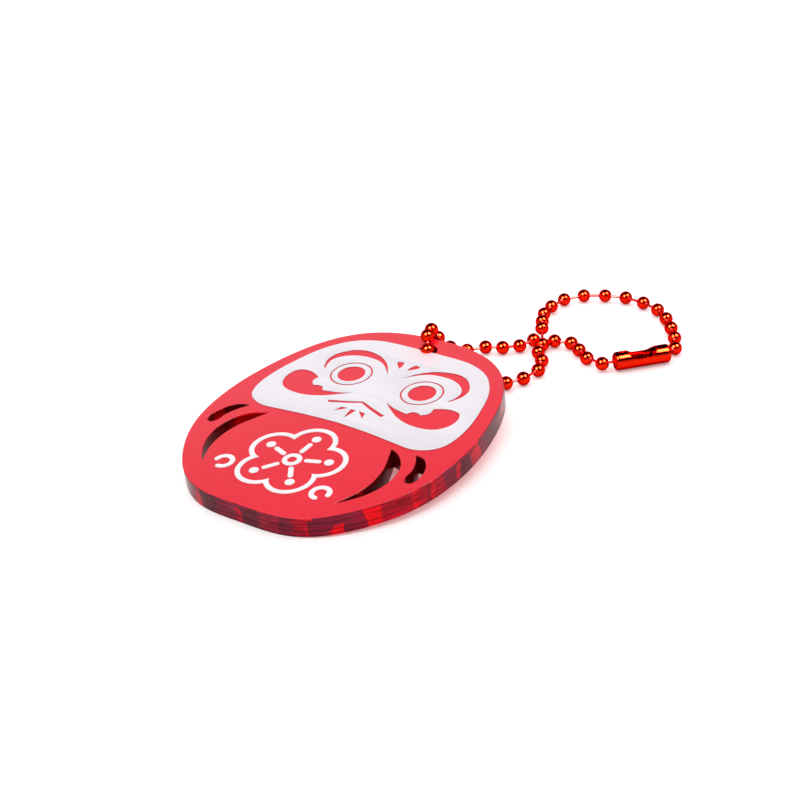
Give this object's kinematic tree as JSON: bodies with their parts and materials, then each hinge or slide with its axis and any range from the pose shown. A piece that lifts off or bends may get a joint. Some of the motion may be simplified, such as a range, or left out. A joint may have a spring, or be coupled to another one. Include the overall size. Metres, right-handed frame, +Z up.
{
  "type": "daruma keychain charm",
  "caption": "Flat laser-cut acrylic daruma charm with a printed face, a belly emblem and robe-fold slots, on a closed ball chain with a barrel clasp, resting on a table.",
  "frame": {"origin": "on the table, below the middle of the resting charm and chain in plan", "axes": "+Y from the base of the daruma to its head and on along the chain, +X towards its left eye (the right as it is looked at), +Z up from the table"},
  "size_m": [0.0535, 0.0914, 0.0094],
  "materials": {
    "acrylic": "polished clear-tinted cast acrylic, laser-cut edge",
    "ink": "white print with a fine grain",
    "bead_metal": "mirror-bright red anodised",
    "pin_metal": "mirror-bright red anodised",
    "clasp_metal": "mirror-bright red anodised, cut edges on the seam and window"
  },
  "bodies": {
    "charm": {"acrylic_plate": "acrylic", "face_print": "ink", "eye_print_left": "ink", "eye_print_right": "ink", "belly_emblem_print": "ink", "bead_13": "bead_metal", "bead_14": "bead_metal", "bead_15": "bead_metal", "bead_16": "bead_metal", "bead_17": "bead_metal", "bead_18": "bead_metal", "bead_19": "bead_metal", "bead_20": "bead_metal", "bead_21": "bead_metal", "bead_22": "bead_metal", "charm_link_pins": "pin_metal"},
    "strands": {"bead_08": "bead_metal", "bead_09": "bead_metal", "bead_10": "bead_metal", "bead_11": "bead_metal", "bead_12": "bead_metal", "bead_23": "bead_metal", "bead_24": "bead_metal", "strand_link_pins": "pin_metal"},
    "crossing": {"bead_04": "bead_metal", "bead_05": "bead_metal", "bead_06": "bead_metal", "bead_07": "bead_metal", "bead_25": "bead_metal", "bead_26": "bead_metal", "bead_27": "bead_metal", "bead_28": "bead_metal", "bead_29": "bead_metal", "crossing_link_pins": "pin_metal"},
    "near_loop": {"bead_03": "bead_metal", "bead_30": "bead_metal", "bead_31": "bead_metal", "bead_32": "bead_metal", "near_loop_link_pins": "pin_metal"},
    "far_loop": {"bead_02": "bead_metal", "bead_33": "bead_metal", "bead_34": "bead_metal", "bead_35": "bead_metal", "bead_36": "bead_metal", "bead_37": "bead_metal", "bead_38": "bead_metal", "bead_39": "bead_metal", "bead_40": "bead_metal", "bead_41": "bead_metal", "far_loop_link_pins": "pin_metal"},
    "end_bead": {"bead_01": "bead_metal", "end_bead_pin": "pin_metal"},
    "clasp": {"clasp": "clasp_metal"}
  },
  "joints": [
    {"name": "fold_at_charm", "type": "hinge", "parent": "charm", "child": "strands", "pos_m": [0.0011, 0.00959, 0.00306], "axis": [0.9695, 0.076, -0.2332], "range_deg": [0, 20]},
    {"name": "fold_before_crossing", "type": "hinge", "parent": "strands", "child": "crossing", "pos_m": [0.00499, 0.01843, 0.00115], "axis": [0.8786, -0.4775, 0], "range_deg": [0, 15]},
    {"name": "fold_after_crossing", "type": "hinge", "parent": "crossing", "child": "near_loop", "pos_m": [0.00572, 0.02713, 0.00135], "axis": [0.8039, -0.5943, -0.0255], "range_deg": [0, 16]},
    {"name": "fold_in_loop", "type": "hinge", "parent": "near_loop", "child": "far_loop", "pos_m": [0.00833, 0.03136, 0.00116], "axis": [0.5219, -0.853, 0.001], "range_deg": [0, 20]},
    {"name": "clasp_spin", "type": "hinge", "parent": "far_loop", "child": "clasp", "pos_m": [0.02255, 0.02455, 0.00155], "axis": [0.6691, 0.7431, 0], "continuous": true},
    {"name": "end_bead_slide", "type": "slide", "parent": "far_loop", "child": "end_bead", "axis": [0.7847, 0.6136, 0.0882], "range_m": [0, 0.00012]}
  ]
}
